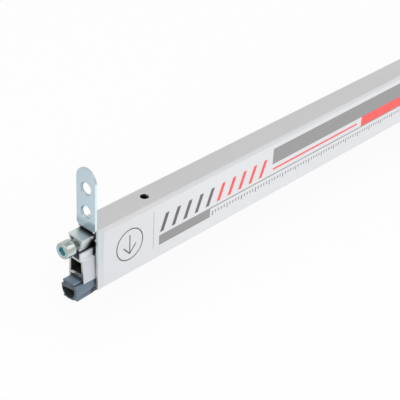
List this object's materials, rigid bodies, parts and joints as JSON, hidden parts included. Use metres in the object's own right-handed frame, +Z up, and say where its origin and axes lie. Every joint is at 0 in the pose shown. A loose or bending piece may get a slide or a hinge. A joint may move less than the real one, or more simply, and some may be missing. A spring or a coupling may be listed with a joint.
{
  "type": "automatic door bottom seal",
  "caption": "Mortised aluminium door bottom seal with a side plunger that lowers a hollow silicone bulb on bowed leaf springs, with end fixing brackets.",
  "frame": {"origin": "middle of the housing's roof, on its outer face", "axes": "+X along the housing from the plunger end to the far end, +Z up towards the door, -Y towards the labelled side"},
  "size_m": [0.4488, 0.0121, 0.0594],
  "materials": {
    "housing_aluminium": "mill-finished extrusion, faintly drawn along its length",
    "inner_aluminium": "mill-finished extrusion with sawn ends",
    "printed_film": "pale satin film with printed bars and marks",
    "plated_steel": "bright zinc plate on stamped sheet",
    "screw_steel": "turned steel with a zinc plate",
    "pin_steel": "drawn steel wire",
    "spring_steel": "rolled spring strip",
    "block_plastic": "moulded, satin",
    "silicone": "extruded silicone, satin"
  },
  "bodies": {
    "housing": {"housing_profile": "housing_aluminium", "product_label": "printed_film", "near_end_bracket": "plated_steel", "far_end_bracket": "plated_steel", "near_spring_anchor": "block_plastic", "far_spring_anchor": "block_plastic", "anchor_pins": "pin_steel", "anchor_rivets": "pin_steel", "near_leaf_spring": "spring_steel", "far_leaf_spring": "spring_steel"},
    "plunger": {"pusher_profile": "inner_aluminium", "screw_nut": "block_plastic", "nut_pin": "pin_steel", "push_strip": "spring_steel", "strip_pins": "pin_steel", "near_spring_slider": "block_plastic", "far_spring_slider": "block_plastic", "slider_pins": "pin_steel"},
    "screw": {"adjusting_screw": "screw_steel"},
    "drop_seal": {"carrier_profile": "inner_aluminium", "silicone_seal": "silicone", "near_spring_foot": "block_plastic", "far_spring_foot": "block_plastic", "foot_rivets": "pin_steel", "foot_pins": "pin_steel"}
  },
  "joints": [
    {"name": "plunger_push", "type": "slide", "parent": "housing", "child": "plunger", "axis": [1, 0, 0], "range_m": [0, 0.0055], "stiffness_N_per_m": 1500, "springref_m": -0.002},
    {"name": "screw_adjust", "type": "slide", "parent": "plunger", "child": "screw", "axis": [1, 0, 0], "range_m": [-0.005, 0.0025]},
    {"name": "seal_drop", "type": "slide", "parent": "housing", "child": "drop_seal", "axis": [0, 0, -1], "range_m": [0, 0.012], "deforming": ["near_leaf_spring", "far_leaf_spring"]}
  ],
  "couplings": [
    {"joint": "seal_drop", "follows": "plunger_push", "ratio": 2.18}
  ]
}
